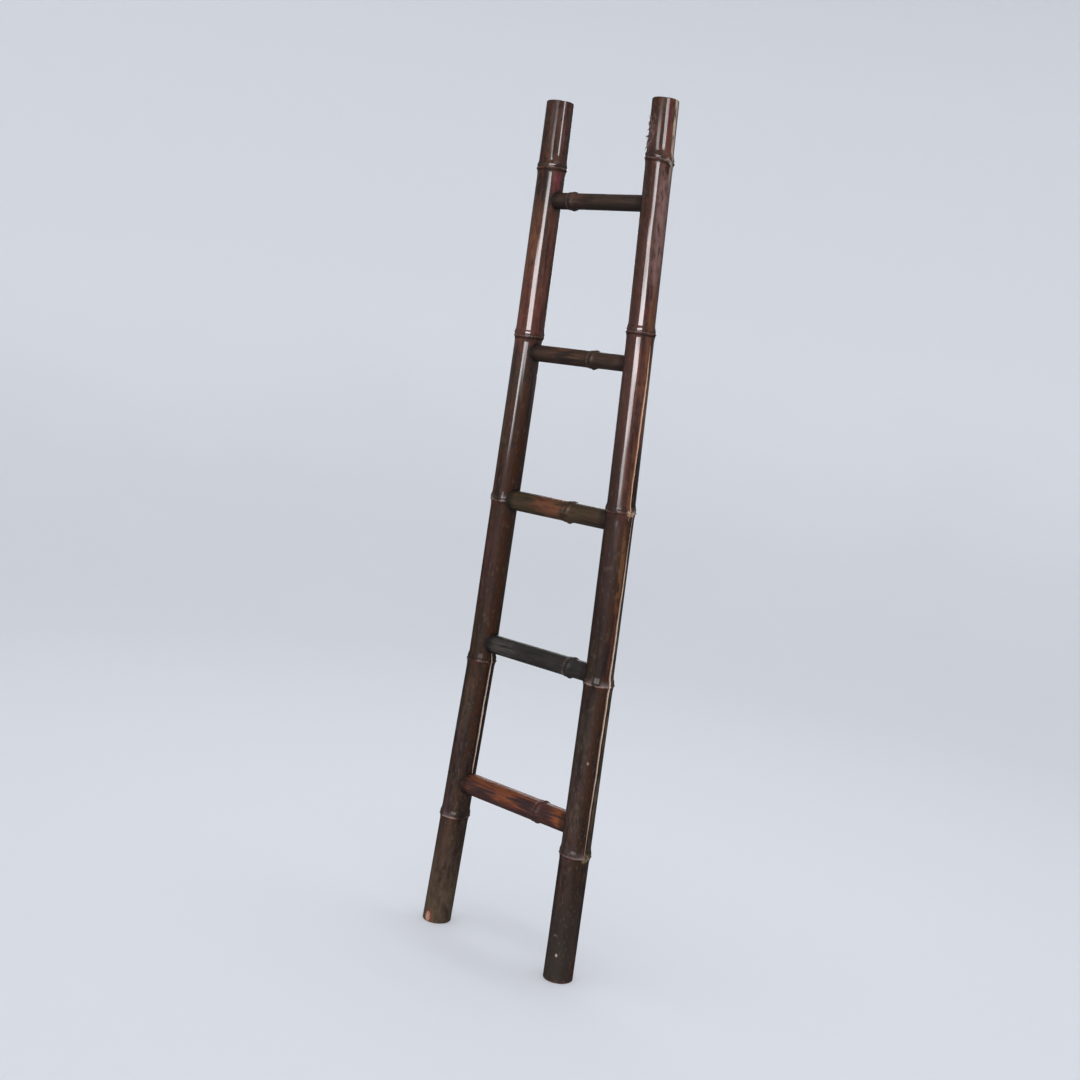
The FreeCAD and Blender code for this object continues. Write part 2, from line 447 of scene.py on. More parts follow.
def sawn_bamboo(name):
    """A sawn end: brown, with darker dots that crowd towards the skin."""
    material, shader, place = new_material(name)
    dots = place.add("ShaderNodeTexVoronoi", {}, {"Vector": place, "Scale": 620.0}, "Distance")
    cloud = noise(place, 60.0, 3.0)
    colour = blend(sawn_brown, sawn_dot, fade(dots, 0.42, 0.20))
    colour = blend(colour, sawn_dirt, fade(cloud, 0.42, 0.70))
    dress(shader, {"Base Color": colour, "Roughness": 0.6 + cloud * 0.2,
                   "Normal": bumped(dots, 0.4, 0.0005)})
    return material


fresh_split_face = bare_bamboo("fresh_split_bamboo", (0.60, 0.40, 0.28, 1.0), (0.42, 0.24, 0.15, 1.0), 0.06)
split_face = bare_bamboo("split_bamboo", (0.56, 0.45, 0.37, 1.0), (0.38, 0.28, 0.21, 1.0), 0.06)
chip_face = bare_bamboo("chipped_bamboo", (0.40, 0.21, 0.14, 1.0), (0.13, 0.055, 0.03, 1.0), 0.15)
torn_face = bare_bamboo("torn_bamboo", (0.17, 0.100, 0.088, 1.0), (0.022, 0.013, 0.011, 1.0), 0.20)
husk_face = bare_bamboo("husk", (0.24, 0.215, 0.18, 1.0), (0.10, 0.085, 0.068, 1.0), 0.15)
hollow_face = bare_bamboo("hollow_bamboo", (0.24, 0.15, 0.085, 1.0), (0.13, 0.075, 0.04, 1.0), 0.25)
sawn_face = sawn_bamboo("sawn_bamboo")


# Stiles
# Two whole culms as long as the ladder, thicker at the foot, stained red-brown and lacquered, sawn square and
# left open at both ends. Round sockets in their inner sides take the rungs, and drying has split the walls.

stile_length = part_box("stile_left")[1].z
foot_spacing = 0.356
head_spacing = 0.270
stile_sag = 0.017
foot_girth = 0.062
stile_wall = 0.007
stile_diaphragm = 0.006
stile_step = (-0.004, 0.008)

rung_nodes = sorted(name for name in frame["nodes"] if name.startswith("rung_"))
rung_boxes = [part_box(name) for name in rung_nodes]
rung_places = [(low + high) / 2 for low, high in rung_boxes]
rung_diameters = [0.0470, 0.0408, 0.0430, 0.0350, 0.0343]
rung_taper = 0.975
socket_gap = 0.0004

# Directions round a stile are in degrees from its front towards +X. Nodes and splits are placed by shares of
# its length, girths and kinks are shares of the foot's girth, and some nodes keep dry husk at the bud.
husk_olive = (0.17, 0.13, 0.075, 1.0)
husk_tan = (0.36, 0.24, 0.15, 1.0)
stiles = {
    "left": {
        "side": -1,
        "seed": 3.0,
        "nodes": [0.1363, 0.3343, 0.5316, 0.7293, 0.9239],
        "girths": [(1.010, 0.990), (1.000, 0.974), (0.938, 0.925), (0.958, 0.944), (0.972, 0.941),
                   (0.941, 0.919)],
        "kinks": [0.0, 0.050, -0.018, -0.004, 0.0],
        "tilts": [(0.0008, 20), (0.0010, 200), (0.0006, 90), (0.0008, 10), (0.0012, 300)],
        "buds": [None, {"angle": 235}, None, {"angle": 235}, {"angle": 55}],
        "furrow_angle": 55,
        "furrow_depth": 0.0019,
        "splits": [{"span": (0.186, 0.352), "angles": [87, 87, 86, 86, 86], "face": split_face}],
    },
    "right": {
        "side": 1,
        "seed": 11.0,
        "nodes": [0.1476, 0.3484, 0.5460, 0.7464, 0.9340],
        "girths": [(1.002, 1.000), (0.998, 0.977), (0.946, 0.950), (0.937, 0.907), (0.880, 0.886),
                   (0.878, 0.857)],
        "kinks": [-0.010, 0.006, 0.012, -0.004, -0.010],
        "tilts": [(0.0008, 150), (0.0010, 60), (0.0010, 250), (0.0006, 120), (0.0034, 130)],
        "buds": [{"angle": 92, "edge": (0.86, 0.96), "reach": 0.012, "colour": husk_olive}, {"angle": 262},
                 {"angle": 84, "edge": (0.90, 0.97), "reach": 0.008, "colour": husk_tan}, {"angle": 270},
                 {"angle": 88}],
        "furrow_angle": 42,
        "furrow_depth": 0.0021,
        "splits": [{"span": (0.538, 0.734), "angles": [73, 76, 81, 87, 88], "face": fresh_split_face},
                   {"span": (0.152, 0.553), "angles": [73, 76, 82, 92, 96], "face": split_face}],
    },
}
split_width = 0.005
split_heights = [0.0, 0.12, 0.45, 0.80, 1.0]
split_widths = [0.12, 0.75, 1.0, 0.85, 0.12]
split_steps = 60
hole_sides = 64

# Waves of a split along the stem, in degrees where it wanders and as shares of its width where it is ragged.
# Each wave has its size, its rate in radians to the metre, and its phase.
split_wander = [(0.9, 47, 0), (0.5, 131, 1)]
split_ragged = [(0.10, 210, 0), (0.08, 517, 2)]


def direction(degrees):
    """A level unit vector, from degrees round a stile."""
    return Vector((math.sin(math.radians(degrees)), -math.cos(math.radians(degrees))))


def stepped(places, values, place):
    """The value at a place, straight between the places that have one."""
    for low, high, low_value, high_value in zip(places[:-1], places[1:], values[:-1], values[1:]):
        if place <= high:
            break
    return between(low_value, high_value, (place - low) / (high - low))


def node_heights(stile):
    return [share * stile_length for share in stile["nodes"]]


def sag(share):
    """How far back a stile bows at a share of its length, which is a number or a strand."""
    return stile_sag * (4 * share * (1 - share) - 0.5)


def stile_axis(stile, height):
    """The axis bends a little at each node and runs straight between nodes."""
    heights = [0.0] + node_heights(stile) + [stile_length]
    kinks = [0.0] + stile["kinks"] + [0.0]
    points = []
    for node, kink in zip(heights, kinks):
        share = node / stile_length
        x = stile["side"] * between(foot_spacing, head_spacing, share) / 2 + kink * foot_girth
        points.append(Vector((x, sag(share), node)))
    return stepped(heights, points, height)


def stile_radius(stile, height):
    """Each internode tapers by itself, and the step between two of them is spread over the node."""
    heights = [0.0] + node_heights(stile) + [stile_length]
    radius = 0.0
    for index, (low, high) in enumerate(stile["girths"]):
        start, end = heights[index], heights[index + 1]
        own = between(low, high, min(max((height - start) / (end - start), 0.0), 1.0))
        begun = smooth(start + stile_step[0], start + stile_step[1], height) if index else 1.0
        radius = between(radius, own * foot_girth / 2, begun)
    return radius


def mesh_of(shape, name):
    """The mesh of a finished shape, which is freed."""
    mesh = bpy.data.meshes.new(name)
    shape.to_mesh(mesh)
    shape.free()
    return mesh


def drill(holes):
    """A mesh of round cutters, each from one point to another with a radius."""
    shape = bmesh.new()
    for start, end, radius in holes:
        run = end - start
        turned = run.to_track_quat("Z", "Y").to_matrix().to_4x4()
        middle = Matrix.Translation((start + end) / 2)
        bmesh.ops.create_cone(shape, cap_ends=True, segments=hole_sides, radius1=radius, radius2=radius,
                              depth=run.length, matrix=middle @ turned)
    return mesh_of(shape, "drill")


def ripple(waves, height):
    return sum(size * math.sin(height * rate + phase) for size, rate, phase in waves)


def split_wedge(stile, split):
    """The gap that a drying split opens: it swells and closes again, and wanders with the fibres."""
    low, high = [share * stile_length for share in split["span"]]
    corners = []
    for step in range(split_steps + 1):
        share = step / split_steps
        height = between(low, high, share)
        angle = stepped(split_heights, split["angles"], share) + ripple(split_wander, height)
        outward = direction(angle).to_3d()
        ragged = 1 + ripple(split_ragged, height)
        width = split_width * stepped(split_heights, split_widths, share) * ragged
        sideways = Vector((outward.y, -outward.x, 0)) * width / 2
        centre = stile_axis(stile, height)
        radius = stile_radius(stile, height)
        deep = centre + outward * (radius - 2 * stile_wall)
        proud = centre + outward * (radius + stile_wall)
        corners.append([deep - sideways, proud - sideways, proud + sideways, deep + sideways])
    shape = bmesh.new()
    rings = [[shape.verts.new(point) for point in ring] for ring in corners]
    for one, other in zip(rings[:-1], rings[1:]):
        for index in range(4):
            follow = (index + 1) % 4
            shape.faces.new((one[index], one[follow], other[follow], other[index]))
    shape.faces.new(rings[0])
    shape.faces.new(rings[-1])
    bmesh.ops.recalc_face_normals(shape, faces=shape.faces)
    return mesh_of(shape, "split")


def cut(obj, mesh, material):
    """Cuts a mesh out of an object and leaves the cut faces in the material."""
    mesh.materials.append(material)
    cutter = new_object("cutter", mesh)
    modifier = obj.modifiers.new("cut", "BOOLEAN")
    modifier.operation = "DIFFERENCE"
    modifier.solver = "EXACT"
    modifier.material_mode = "TRANSFER"
    modifier.object = cutter
    obj.data = plain_mesh(obj)
    obj.modifiers.clear()
    bpy.data.objects.remove(cutter)


def ring_mark(strand, name):
    """One of the marks that the culm's tree left round its nodes."""
    return strand.add("ShaderNodeAttribute", {"attribute_name": name}, {}, "Fac")


step_edge = 0.0005
fibre_shift = 3.1


def steps(value, places, levels):
    """A level for each span between the places, with a sharp step at each place."""
    total = levels[0]
    for place, low, high in zip(places, levels[:-1], levels[1:]):
        total = fade(value, place - step_edge, place + step_edge) * (high - low) + total
    return total


def along(value, stops):
    """A level that changes smoothly from stop to stop. A stop is a place and its level."""
    total = stops[0][1]
    for (start, low), (end, high) in zip(stops[:-1], stops[1:]):
        total = fade(value, start, end) * (high - low) + total
    return total


black_stain_and_shade = (0.009, 0.006, 0.005, 1.0)
brown_stain = (0.022, 0.0115, 0.0072, 1.0)
olive_stain = (0.026, 0.018, 0.0095, 1.0)
plum_stain = (0.025, 0.0125, 0.0125, 1.0)
red_stain = (0.085, 0.024, 0.014, 1.0)
orange_stain = (0.120, 0.050, 0.018, 1.0)
crimson_stain = (0.110, 0.020, 0.026, 1.0)
russet_stain = (0.027, 0.0095, 0.0032, 1.0)
mauve_sheen = (0.125, 0.075, 0.070, 1.0)
tan_stain_and_sheen = (0.170, 0.095, 0.080, 1.0)
cream_sheen = (0.42, 0.32, 0.25, 1.0)
scar_colour = (0.26, 0.18, 0.15, 1.0)
bare_speck = (0.31, 0.25, 0.20, 1.0)
rim_brown = (0.10, 0.036, 0.016, 1.0)
worn_end = (0.09, 0.036, 0.024, 1.0)
bloom_colour = (0.105, 0.078, 0.074, 1.0)


def stile_lacquer(name, stile):
    """Stain under lacquer: glossy red-brown above, worn to a dull dusty brown towards the foot."""
    material, shader, place = new_material(name)
    x, y, z = separate(place)
    share = z / stile_length
    nodes = node_heights(stile)
    kinks = [(node, kink * foot_girth) for node, kink in zip(nodes, stile["kinks"])]
    bend = along(z, [(0.0, 0.0)] + kinks + [(stile_length, 0.0)])
    local_x = x - bend - stile["side"] * (foot_spacing / 2 - share * ((foot_spacing - head_spacing) / 2))
    local_y = y - sag(share)
    reach = (local_x * local_x + local_y * local_y).math("SQRT")

    def toward(degrees):
        """Runs from -1 to 1, and is 1 on the side of the stile that faces this way."""
        facing = direction(degrees)
        return (local_x * facing.x + local_y * facing.y) / reach

    def shown(patch):
        """Where a patch lies: on one side of the stile, fading out towards the ends of its span."""
        low, high = patch.span
        spread = (high - low) * 0.3
        facing = fade(toward(patch.angle), *patch.edge)
        return facing * fade(z, low, low + spread) * fade(z, high, high - spread) * patch.share

    # Fibres break off at each node and start anew above it
    starts = [fibre_shift * index + stile["seed"] for index in range(len(nodes) + 1)]
    fresh = z * 0.02 + steps(z, nodes, starts)
    fibre = noise(combine(local_x, local_y, fresh), 900.0, 3.0)
    streak = noise(combine(local_x, local_y, fresh), 230.0, 3.0)
    band = noise(combine(local_x, local_y, fresh + z * 0.06), 80.0, 2.0)
    blotch = noise(combine(local_x, local_y, z * 0.3 + stile["seed"]), 42.0, 3.0)
    mottle = noise(combine(local_x, local_y, z * 0.4 + stile["seed"]), 130.0, 4.0)
    cloud = noise(combine(local_x, local_y, z * 0.4), 25.0, 3.0)

    # Stain, redder higher up, from black to orange in streaks and blotches, with patches of other shades
    tone = streak * 0.25 + band * 0.40 + blotch * 0.35
    ground = blend(brown_stain, olive_stain, fade(cloud, 0.47, 0.60))
    ground = blend(ground, plum_stain, fade(cloud, 0.47, 0.36))
    colour = blend(black_stain_and_shade, blend(ground, red_stain, along(z, stile["reds"])), fade(tone, 0.32, 0.58))
    colour = blend(colour, orange_stain, fade(tone, 0.50, 0.66) * stile["glow"])
    broken = fade(tone, 0.34, 0.54) * fade(mottle, 0.85, 0.38)
    # Some patches are painted light: the black ones on the right stile and beside the left split are painted
    # shade, the mauve, cream and most tan ones painted sheen
    for patch in stile["patches"]:
        colour = blend(colour, patch.colour, shown(patch) * broken)
    colour = blend(colour, black_stain_and_shade, fade(fibre, 0.52, 0.72) * 0.35)
    colour = blend(colour, black_stain_and_shade, fade(mottle, 0.50, 0.68) * 0.55)
    fleck = noise(combine(local_x, local_y, z * 0.5 - stile["seed"]), 110.0, 4.0)
    colour = blend(colour, red_stain, fade(fleck, 0.54, 0.68) * along(z, [(1.15, 0.12), (1.35, 0.45)]))
    colour = blend(colour, husk_olive, fade(fleck, 0.44, 0.30) * 0.11)

    # Foot: rubbed and dusty, with slanting scratches, and worn to the bare rim at the very end
    dust = fade(z + (cloud - 0.5) * 0.2, 0.26, 0.04)
    colour = blend(colour, stile["foot_colour"], dust * fade(blotch * 0.5 + mottle * 0.5, 0.30, 0.58))
    scratch = noise(combine(local_x + z * 0.25, local_y - z * 0.1, z * 0.05), 420.0, 1.0)
    colour = blend(colour, bloom_colour, fade(scratch, 0.66, 0.74) * fade(z, 0.9, 0.2) * 0.5)
    colour = blend(colour, worn_end, fade(z + (streak - 0.5) * 0.03, 0.006, 0.001) * 0.5)

    # Nodes: painted shade under the lip, red below that where the sheath grew, a pale bloom above, a worn
    # line on it
    scar = ring_mark(place, "scar")
    collar = ring_mark(place, "collar")
    above = ring_mark(place, "above")
    low_down = fade(z, 1.15, 0.85)
    under_lip_shade = fade(collar, 0.40, 0.75) * (1 - above)
    colour = blend(colour, red_stain, collar * (1 - above) * fade(band, 0.38, 0.6) * (0.9 - low_down * 0.5))
    colour = blend(colour, black_stain_and_shade, under_lip_shade * (1 - scar) * (0.85 - low_down * 0.6))
    colour = blend(colour, black_stain_and_shade, collar * above * (1 - scar) * fade(streak, 0.42, 0.62) * 0.7)
    colour = blend(colour, bloom_colour, collar * above * fade(blotch, 0.46, 0.62) * low_down)
    worn = fade(blotch * 0.5 + streak * 0.5, 0.44, 0.60) * (low_down * 0.65 + 0.2)
    colour = blend(colour, scar_colour, scar * worn)
    for node, bud in zip(nodes, stile["buds"]):
        if bud and "colour" in bud:
            off = (z - node).math("ABSOLUTE") + (streak - 0.5) * 0.014
            left_on = fade(off, bud["reach"], bud["reach"] * 0.3) * fade(toward(bud["angle"]), *bud["edge"])
            colour = blend(colour, bud["colour"], left_on * fade(mottle, 0.62, 0.42))

    # Specks that are chipped to the bare stem
    for speck in stile["specks"]:
        colour = blend(colour, speck.colour, shown(speck))

    # Grime and painted shade round the sockets of the rungs
    heights = [rung.z for rung in rung_places]
    middles = [(low + high) / 2 for low, high in zip(heights[:-1], heights[1:])]
    from_y = y - steps(z, middles, [rung.y for rung in rung_places])
    from_z = z - steps(z, middles, heights)
    rung_radius = steps(z, middles, [diameter / 2 for diameter in rung_diameters])
    rim = (from_y * from_y + from_z * from_z).math("SQRT") - rung_radius
    inner = fade(local_x * -stile["side"], 0.0, 0.008)
    colour = blend(colour, black_stain_and_shade, fade(rim + (streak - 0.5) * 0.01, 0.008, 0.0005) * inner * 0.85)

    # Lacquer, rubbed dull in streaks and patches, with a brighter ridge above each of the higher nodes
    bare = 1 - fade(streak * 0.5 + band * 0.5, 0.36, 0.58)
    gloss = along(z, stile["gloss"]) * (1 - bare * 0.6)
    for patch in stile["dull"]:
        gloss *= 1 - shown(patch)
    gloss = (gloss + collar * above * fade(z, 0.85, 0.95) * 0.4).math("MINIMUM", 1.0) * (1 - under_lip_shade * 0.9)
    rough = 0.62 - gloss * 0.22 + (fibre - 0.5) * 0.3 + dust * 0.1
    height = fibre * 0.6 + streak * steps(z, nodes, stile_grooves)
    dress(shader, {"Base Color": colour, "Roughness": rough, "Specular IOR Level": 0.12, "Coat Weight": gloss,
                   "Coat Roughness": 0.08, "Coat IOR": 1.7, "Normal": bumped(height, 0.2, 0.0006)})
    return material


# How deep the flutes and the grooves of the fibres are in each internode
stile_flutes = [0.6, 0.6, 1.0, 1.0, 1.0, 2.5]
stile_grooves = [0.4, 0.4, 0.4, 0.5, 0.6, 1.2]

# The stops of the reds and of the gloss are heights in metres, each with its level. A patch faces an angle,
# begins and is full at the two cosines of its edge, and has a span of heights. A dull one has lost its gloss.
Patch = namedtuple("Patch", "angle edge span share colour", defaults=[None])
stiles["left"].update(
    foot_colour=(0.060, 0.042, 0.025, 1.0), glow=0.18,
    reds=[(0.30, 0.10), (0.90, 0.12), (1.24, 0.20), (1.34, 0.95), (1.48, 0.80), (1.58, 0.35), (1.75, 0.22)],
    gloss=[(0.50, 0.15), (0.93, 0.20), (1.05, 0.30), (1.20, 0.85), (1.34, 0.84), (1.50, 0.84), (1.66, 0.75),
           (1.69, 0.60)],
    patches=[Patch(70, (0.93, 0.985), (1.59, 1.655), 0.8, crimson_stain),
             Patch(47, (0.985, 0.998), (1.35, 1.67), 0.7, black_stain_and_shade),
             Patch(78, (0.985, 0.998), (1.60, 2.00), 0.5, crimson_stain),
             Patch(66, (0.70, 0.98), (0.15, 1.36), 1.2, russet_stain),
             Patch(-2, (0.92, 0.98), (1.40, 1.55), 0.5, orange_stain),
             # Painted shadow of the split, in black beside it
             Patch(86, (0.955, 0.98), (0.30, 0.66), 1.4, black_stain_and_shade),
             # Painted sheen on the head
             Patch(50, (0.50, 0.95), (1.62, 2.20), 0.30, mauve_sheen),
             Patch(-15, (0.60, 0.95), (0.18, 0.58), 0.16, bloom_colour)],
    specks=[Patch(5, (0.94, 0.97), (-0.012, 0.036), 0.8, rim_brown)],
    dull=[Patch(47, (0.945, 0.978), (0.80, 1.31), 1.0),
          Patch(15, (0.950, 0.975), (1.44, 1.76), 1.0),
          Patch(22, (0.920, 0.970), (1.62, 2.20), 0.92)])
stiles["right"].update(
    foot_colour=(0.022, 0.017, 0.014, 1.0), glow=0.15,
    reds=[(0.60, 0.05), (0.90, 0.20), (1.05, 0.45), (1.20, 0.90), (1.50, 0.75), (1.70, 0.30)],
    gloss=[(0.50, 0.15), (0.98, 0.30), (1.02, 0.55), (1.16, 0.85), (1.22, 0.95), (1.48, 0.95), (1.67, 0.85),
           (1.69, 0.80)],
    # Painted shade down the left side of the stile, in black
    patches=[Patch(-35, (0.20, 0.95), (0.10, 2.20), 0.7, black_stain_and_shade),
             Patch(60, (0.80, 0.99), (0.12, 0.98), 1.0, russet_stain),
             Patch(74, (0.975, 0.995), (0.62, 0.82), 0.6, red_stain),
             Patch(72, (0.965, 0.995), (0.74, 0.98), 0.7, orange_stain),
             Patch(70, (0.970, 0.995), (0.94, 1.14), 0.8, orange_stain),
             # Painted shade beside the split, in black
             Patch(93, (0.955, 0.985), (0.93, 1.14), 1.2, black_stain_and_shade),
             Patch(92, (0.86, 0.96), (1.10, 1.38), 0.6, orange_stain),
             Patch(84, (0.88, 0.98), (1.28, 1.48), 0.6, orange_stain),
             # Painted sheen down the right side of the upper internodes
             Patch(62, (0.90, 0.99), (1.38, 1.70), 0.8, mauve_sheen),
             Patch(90, (0.84, 0.98), (1.40, 1.70), 0.8, tan_stain_and_sheen),
             Patch(65, (0.970, 0.990), (1.60, 2.20), 0.8, crimson_stain),
             Patch(82, (0.970, 0.995), (1.60, 2.20), 1.1, orange_stain),
             # Painted reflection: a pale line near the right edge of the head
             Patch(98, (0.975, 0.992), (1.60, 1.98), 1.3, cream_sheen),
             Patch(-20, (0.85, 0.97), (1.68, 1.77), 0.15, tan_stain_and_sheen),
             Patch(100, (0.86, 0.97), (-0.10, 0.11), 1.0, red_stain),
             Patch(104, (0.93, 0.985), (0.20, 0.92), 0.35, husk_olive),
             Patch(-10, (0.60, 0.95), (0.18, 0.64), 0.14, bloom_colour)],
    specks=[Patch(19, (0.9955, 0.9993), (0.054, 0.062), 0.9, bare_speck),
            Patch(3, (0.985, 0.998), (0.095, 0.101), 0.16, bare_speck),
            Patch(37, (0.9965, 0.9995), (0.459, 0.467), 0.45, bare_speck)],
    dull=[Patch(46, (0.945, 0.978), (0.86, 1.20), 0.9),
          Patch(10, (0.940, 0.970), (1.50, 1.72), 1.0),
          Patch(12, (0.880, 0.950), (1.62, 2.20), 0.975)])
stile_sizes = {"Around": 144, "Side": (1, 0, 0), "Front": (0, 1, 0), "Swell": 0.0016, "Collar": 0.008,
               "Lip": 0.0014, "Lip Width": 0.0014, "Ridge": 0.0016, "Ridge Offset": 0.0075,
               "Ridge Width": 0.0062, "Bud": 0.0022, "Uneven": 0.0009, "Flutes": 0.00009,
               "Hollow": hollow_face, "Sawn": sawn_face}
sharp_angle = math.radians(42)

# A chip is broken out of one foot's rim
chip = {"side": "left", "angle": 1, "height": 0.013, "half_width": 0.0085, "half_height": 0.013,
        "depth": 0.003, "thickness": 0.006}


def on_skin(stile, degrees, height, lift):
    """A point by the skin of a stile, as far out from it as the lift."""
    outward = direction(degrees).to_3d()
    return stile_axis(stile, height) + outward * (stile_radius(stile, height) + lift)


def chip_scoop(stile):
    """The shape that the chip took with it: a flat pebble sunk into the skin."""
    shape = bmesh.new()
    turned = Matrix.Rotation(math.radians(chip["angle"]), 4, "Z")
    scaled = Matrix.Diagonal((chip["half_width"], chip["thickness"], chip["half_height"], 1.0))
    centre = on_skin(stile, chip["angle"], chip["height"], chip["thickness"] - chip["depth"])
    bmesh.ops.create_icosphere(shape, subdivisions=4, radius=1.0,
                               matrix=Matrix.Translation(centre) @ turned @ scaled)
    return mesh_of(shape, "chip")


for side, stile in stiles.items():
    nodes = node_heights(stile)
    rows = culm_rows(0.0, stile_length, nodes, lambda height: stile_radius(stile, height), stile_wall,
                     stile_diaphragm)
    tilts = [direction(degrees) * size for size, degrees in stile["tilts"]]
    buds = [direction(bud["angle"]) if bud else Vector((0, 0)) for bud in stile["buds"]]
    head_furrow = (*direction(stile["furrow_angle"]), stile["furrow_depth"])
    furrows = [(0, 0, 0)] * len(nodes) + [head_furrow]
    lacquer = stile_lacquer("lacquer_" + side, stile)
    piece = grow_culm("culm_" + side, rows, lambda height: stile_axis(stile, height), nodes, tilts, buds,
                      stile_flutes, furrows, dict(stile_sizes, Skin=lacquer, Seed=stile["seed"]))
    sockets = []
    for box, place, diameter in zip(rung_boxes, rung_places, rung_diameters):
        end = box[0].x if stile["side"] < 0 else box[1].x
        bottom = Vector((end + stile["side"] * socket_gap, place.y, place.z))
        radius = diameter / 2 * (1 if stile["side"] < 0 else rung_taper)
        sockets.append((Vector((0, place.y, place.z)), bottom, radius + socket_gap))
    peg_holes = []
    for name in frame["nodes"]:
        if name.startswith("peg_" + side):
            low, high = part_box(name)
            centre = (low + high) / 2
            radius = (high.z - low.z) / 2 + socket_gap / 2
            peg_holes.append((Vector((centre.x, low.y - socket_gap, centre.z)),
                              Vector((centre.x, high.y + stile_wall, centre.z)), radius))
    cut(piece, drill(sockets), split_face)
    cut(piece, drill(peg_holes), split_face)
    for split in stile["splits"]:
        cut(piece, split_wedge(stile, split), split["face"])
    if side == chip["side"]:
        cut(piece, chip_scoop(stile), chip_face)
    piece.data.set_sharp_from_angle(angle=sharp_angle)
    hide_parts("stile_" + side)
    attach(piece, "root")


# Torn skin and husk
# Near its head the right stile has been knocked: short slivers of the outer skin stand up from it.
# A dry scale of the old sheath still clings to its highest node, twisted away from the lip.

torn_stile = stiles["right"]
torn = {"angles": (-50, 2), "heights": (1.690, 1.752), "count": 60, "length": 0.012, "width": 0.0015,
        "tip": 0.0002, "sink": 0.0004, "spread": 40, "slant": (0.15, 0.7), "sizes": (0.4, 1.0), "seed": 5}

# One stubby sliver sticks out sideways
stub = {"angle": -47, "height": 1.717, "sink": 0.0020, "droop": 0.25, "size": (1.8, 1.8, 0.65)}


def sliver_tree():
    """A thin cone on each point, leaning and sized as the point says."""
    sockets = {"Points": "Geometry", "Width": "Float", "Tip": "Float", "Length": "Float", "Face": "Material"}
    tree, given = new_tree("slivers", sockets, "Slivers")
    points = given["Points"]
    cone_size = {"Vertices": 6, "Radius Top": given["Tip"], "Radius Bottom": given["Width"],
                 "Depth": given["Length"]}
    cone = points.add("GeometryNodeMeshCone", {}, cone_size, "Mesh")
    lean = {"Vector": attribute(points, "lean", "FLOAT_VECTOR")}
    turned = points.add("FunctionNodeAlignRotationToVector", {"axis": "Z"}, lean, "Rotation")
    placed = {"Points": points, "Instance": cone, "Rotation": turned,
              "Scale": attribute(points, "size", "FLOAT_VECTOR")}
    slivers = points.add("GeometryNodeInstanceOnPoints", {}, placed, "Instances")
    slivers = slivers.add("GeometryNodeRealizeInstances", {}, {"Geometry": slivers}, "Geometry")
    slivers = painted(slivers, given["Face"])
    tree.links.new(slivers.socket, tree.nodes.new("NodeGroupOutput").inputs[0])
    return tree


draw = random.Random(torn["seed"])
feet = []
leans = []
sizes = []
for _ in range(torn["count"]):
    degrees = draw.uniform(*torn["angles"])
    feet.append(on_skin(torn_stile, degrees, draw.uniform(*torn["heights"]), -torn["sink"]))
    upward = Vector((0, 0, draw.choice((-1, 1))))
    sideways = direction(degrees + draw.uniform(-torn["spread"], torn["spread"])).to_3d()
    leans.extend((sideways * draw.uniform(*torn["slant"]) + upward).normalized())
    sizes.extend([draw.uniform(*torn["sizes"])] * 3)
feet.append(on_skin(torn_stile, stub["angle"], stub["height"], -stub["sink"]))
leans.extend((direction(stub["angle"]).to_3d() - Vector((0, 0, stub["droop"]))).normalized())
sizes.extend(stub["size"])
sliver_mesh = bpy.data.meshes.new("slivers")
sliver_mesh.from_pydata(feet, [], [])
for name, values in {"lean": leans, "size": sizes}.items():
    sliver_mesh.attributes.new(name, "FLOAT_VECTOR", "POINT").data.foreach_set("vector", values)
slivers = new_object("torn_slivers", sliver_mesh)
grow(slivers, sliver_tree(), {"Width": torn["width"], "Tip": torn["tip"], "Length": torn["length"],
                              "Face": torn_face})
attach(slivers, "root")

husk = {"angles": (56, 104), "drop": 0.021, "slope": 1.3, "above": 0.006, "half_width": 0.0042,
        "taper": (0.12, 0.97), "lift": 0.0026, "rise": (0.1, 0.75), "twist": 0.0020, "thickness": 0.0009,
        "ribs": 16}
husk_node = torn_stile["nodes"][-1] * stile_length
shape = bmesh.new()
ribs = []
for step in range(husk["ribs"] + 1):
    share = step / husk["ribs"]
    degrees = between(*husk["angles"], share)
    height = husk_node + husk["above"] - husk["drop"] * share ** husk["slope"]
    half_width = husk["half_width"] * math.sin(math.pi * between(*husk["taper"], share))
    lift = husk["lift"] * math.sin(math.pi * between(*husk["rise"], share))
    upper = on_skin(torn_stile, degrees, height + half_width, lift + husk["twist"] * share)
    lower = on_skin(torn_stile, degrees, height - half_width, lift)
    ribs.append([shape.verts.new(upper), shape.verts.new((upper + lower) / 2), shape.verts.new(lower)])
for one, other in zip(ribs[:-1], ribs[1:]):
    for index in range(2):
        shape.faces.new((one[index], one[index + 1], other[index + 1], other[index]))
bmesh.ops.recalc_face_normals(shape, faces=shape.faces)
husk_scale = new_object("husk_scale", mesh_of(shape, "husk_scale"))
husk_scale.data.materials.append(husk_face)
thick = husk_scale.modifiers.new("thick", "SOLIDIFY")
thick.thickness = husk["thickness"]
thick.offset = 0.0
rounded = husk_scale.modifiers.new("rounded", "SUBSURF")
rounded.levels = rounded.render_levels = 2
husk_scale.data = plain_mesh(husk_scale)
husk_scale.modifiers.clear()
husk_scale.data.shade_smooth()
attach(husk_scale, "root")


# Rungs
# Five thinner culms, each with one node between the stiles, stained in batches of slightly different brown.
# Their ends are plain tenons that sit in the stiles' sockets; feet have worn the lowest one back to orange.

rung_wall = 0.0045
rung_diaphragm = 0.004
rung_spots = [0.71, 0.80, 0.59, 0.625, 0.155]
rung_step = (-0.004, 0.006)
seed_step = 1.7
